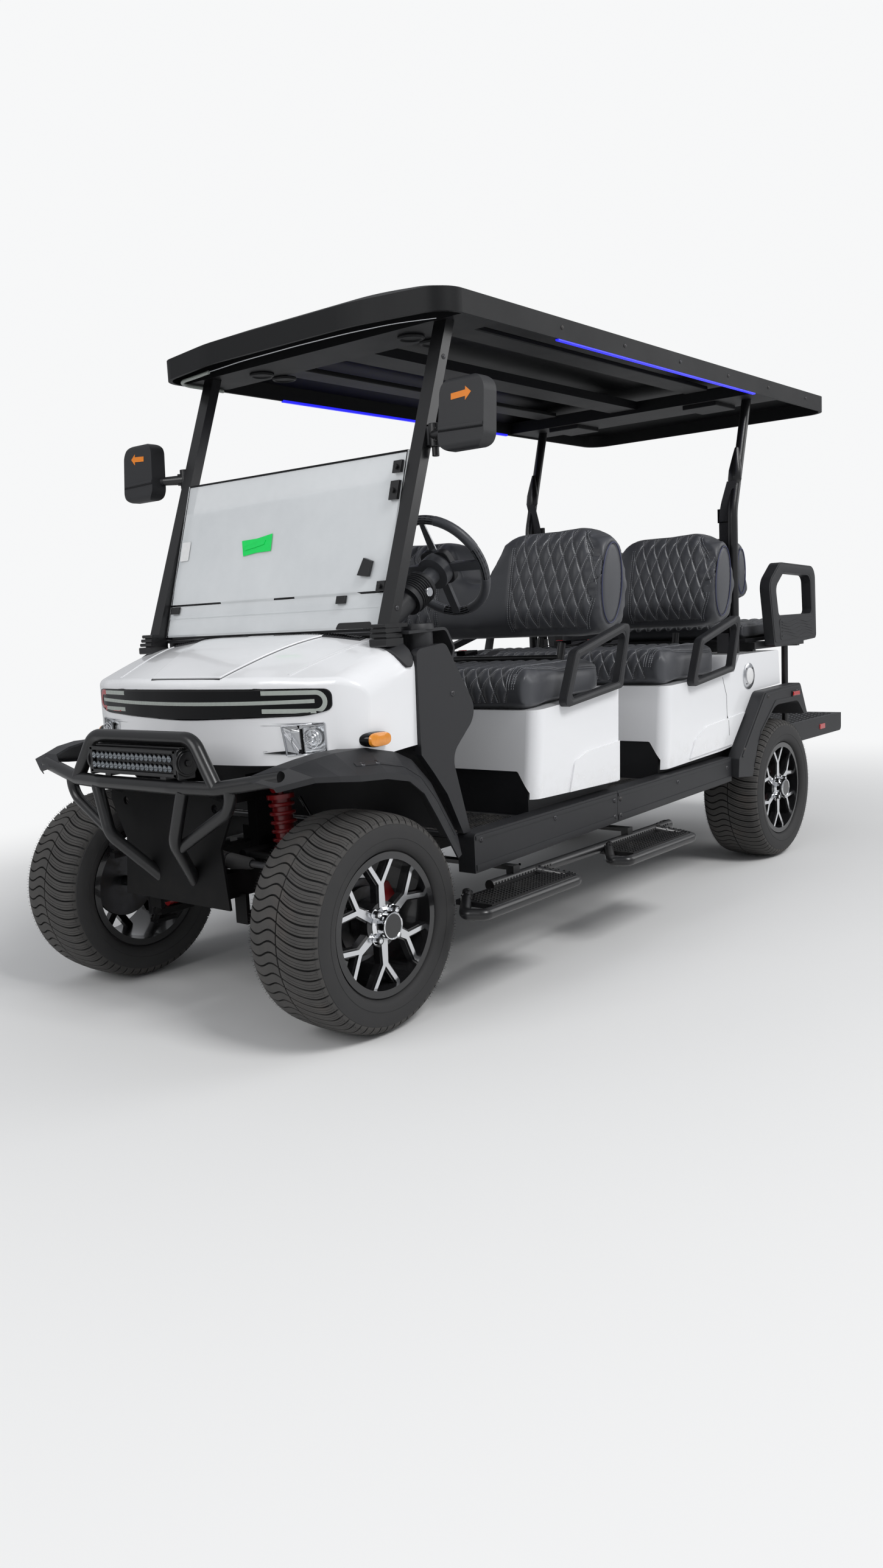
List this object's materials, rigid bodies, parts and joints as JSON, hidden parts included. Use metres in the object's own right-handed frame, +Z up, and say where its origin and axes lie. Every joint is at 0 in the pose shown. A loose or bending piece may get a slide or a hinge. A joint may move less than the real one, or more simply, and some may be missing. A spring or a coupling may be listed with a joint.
{
  "type": "golf cart",
  "caption": "Electric passenger golf cart with a long roof, forward bench rows, a rear-facing flip seat over a footrest, wide turf tyres and a tubular front guard.",
  "frame": {"origin": "on the ground, at the middle of the overall length and width", "axes": "+X forward, +Y to the cart's left, +Z up"},
  "size_m": [3.67, 1.542, 1.985],
  "materials": {
    "white_panel": "gloss",
    "charcoal_trim": "textured satin",
    "black_frame": "satin powder coat",
    "tyre_rubber": "matte",
    "wheel_alloy": "gloss black with machined faces",
    "dark_leather": "quilted",
    "black_gloss": "gloss",
    "clear_lens": "clear",
    "amber_lens": "gloss",
    "red_lens": "gloss",
    "screen": "clear with a milky film",
    "spring_red": "gloss",
    "bare_steel": "brushed",
    "webbing": "woven",
    "battery_case": "matte"
  },
  "bodies": {
    "cart_body": {"armrests": "charcoal_trim", "battery": "battery_case", "chassis_frame": "black_frame", "coil_overs": "spring_red", "cowl_trims": "charcoal_trim", "dashboard": "charcoal_trim", "floor_pan": "charcoal_trim", "front_arms": "black_frame", "front_bumper": "black_frame", "front_cowl": "white_panel", "front_flares": "charcoal_trim", "front_seat_back": "dark_leather", "front_seat_cushion": "dark_leather", "headlamps": "clear_lens", "kick_plates": "charcoal_trim", "lamp_band": "black_gloss", "leaf_springs": "black_frame", "light_bar": "black_frame", "mid_seat_back": "dark_leather", "mid_seat_cushion": "dark_leather", "mirrors": "charcoal_trim", "pedals": "charcoal_trim", "pillars": "black_frame", "rear_armrests": "charcoal_trim", "rear_axle": "bare_steel", "rear_body": "white_panel", "rear_flares": "charcoal_trim", "rear_footrest": "charcoal_trim", "rear_seat_back": "dark_leather", "rear_seat_frame": "black_frame", "rockers_front": "charcoal_trim", "rockers_rear": "charcoal_trim", "roof": "charcoal_trim", "roof_liner": "charcoal_trim", "roof_posts": "black_frame", "seat_belts": "webbing", "seat_box_front": "white_panel", "seat_frames": "black_frame", "side_markers": "amber_lens", "side_steps": "black_frame", "steering_column": "charcoal_trim", "steering_rack": "bare_steel", "tail_lamps": "red_lens", "windscreen": "screen"},
    "knuckle_left": {"knuckle_left": "bare_steel"},
    "knuckle_right": {"knuckle_right": "bare_steel"},
    "wheel_front_left": {"tyre_front_left": "tyre_rubber", "rim_front_left": "wheel_alloy"},
    "wheel_front_right": {"tyre_front_right": "tyre_rubber", "rim_front_right": "wheel_alloy"},
    "wheel_rear_left": {"tyre_rear_left": "tyre_rubber", "rim_rear_left": "wheel_alloy"},
    "wheel_rear_right": {"tyre_rear_right": "tyre_rubber", "rim_rear_right": "wheel_alloy"},
    "tie_rod_bar": {"tie_rods": "bare_steel"},
    "steering_wheel": {"steering_wheel": "black_gloss"},
    "flip_seat": {"rear_seat_cushion": "dark_leather", "rear_deck": "charcoal_trim"}
  },
  "joints": [
    {"name": "steer_left", "type": "hinge", "parent": "cart_body", "child": "knuckle_left", "pos_m": [1.524, 0.35, 0.292], "axis": [0, 0, 1], "range_deg": [-28, 28]},
    {"name": "steer_right", "type": "hinge", "parent": "cart_body", "child": "knuckle_right", "pos_m": [1.524, -0.35, 0.292], "axis": [0, 0, 1], "range_deg": [-28, 28]},
    {"name": "spin_front_left", "type": "hinge", "parent": "knuckle_left", "child": "wheel_front_left", "pos_m": [1.524, 0.502, 0.292], "axis": [0, 1, 0], "continuous": true},
    {"name": "spin_front_right", "type": "hinge", "parent": "knuckle_right", "child": "wheel_front_right", "pos_m": [1.524, -0.502, 0.292], "axis": [0, 1, 0], "continuous": true},
    {"name": "spin_rear_left", "type": "hinge", "parent": "cart_body", "child": "wheel_rear_left", "pos_m": [-0.976, 0.502, 0.292], "axis": [0, 1, 0], "continuous": true},
    {"name": "spin_rear_right", "type": "hinge", "parent": "cart_body", "child": "wheel_rear_right", "pos_m": [-0.976, -0.502, 0.292], "axis": [0, 1, 0], "continuous": true},
    {"name": "tie_rod_slide", "type": "slide", "parent": "cart_body", "child": "tie_rod_bar", "axis": [0, 1, 0], "range_m": [-0.0665, 0.0665]},
    {"name": "steering_turn", "type": "hinge", "parent": "cart_body", "child": "steering_wheel", "pos_m": [0.856, 0.3, 1.225], "axis": [-0.8526, 0, 0.5225], "range_deg": [-340, 340]},
    {"name": "rear_seat_flip", "type": "hinge", "parent": "cart_body", "child": "flip_seat", "pos_m": [-1.421, 0, 0.9127], "axis": [0, -1, 0], "range_deg": [0, 180]}
  ],
  "couplings": [
    {"joint": "steer_right", "follows": "steer_left", "ratio": 1},
    {"joint": "tie_rod_slide", "follows": "steer_left", "m_per_rad": 0.135},
    {"joint": "steering_turn", "follows": "steer_left", "ratio": 12}
  ]
}
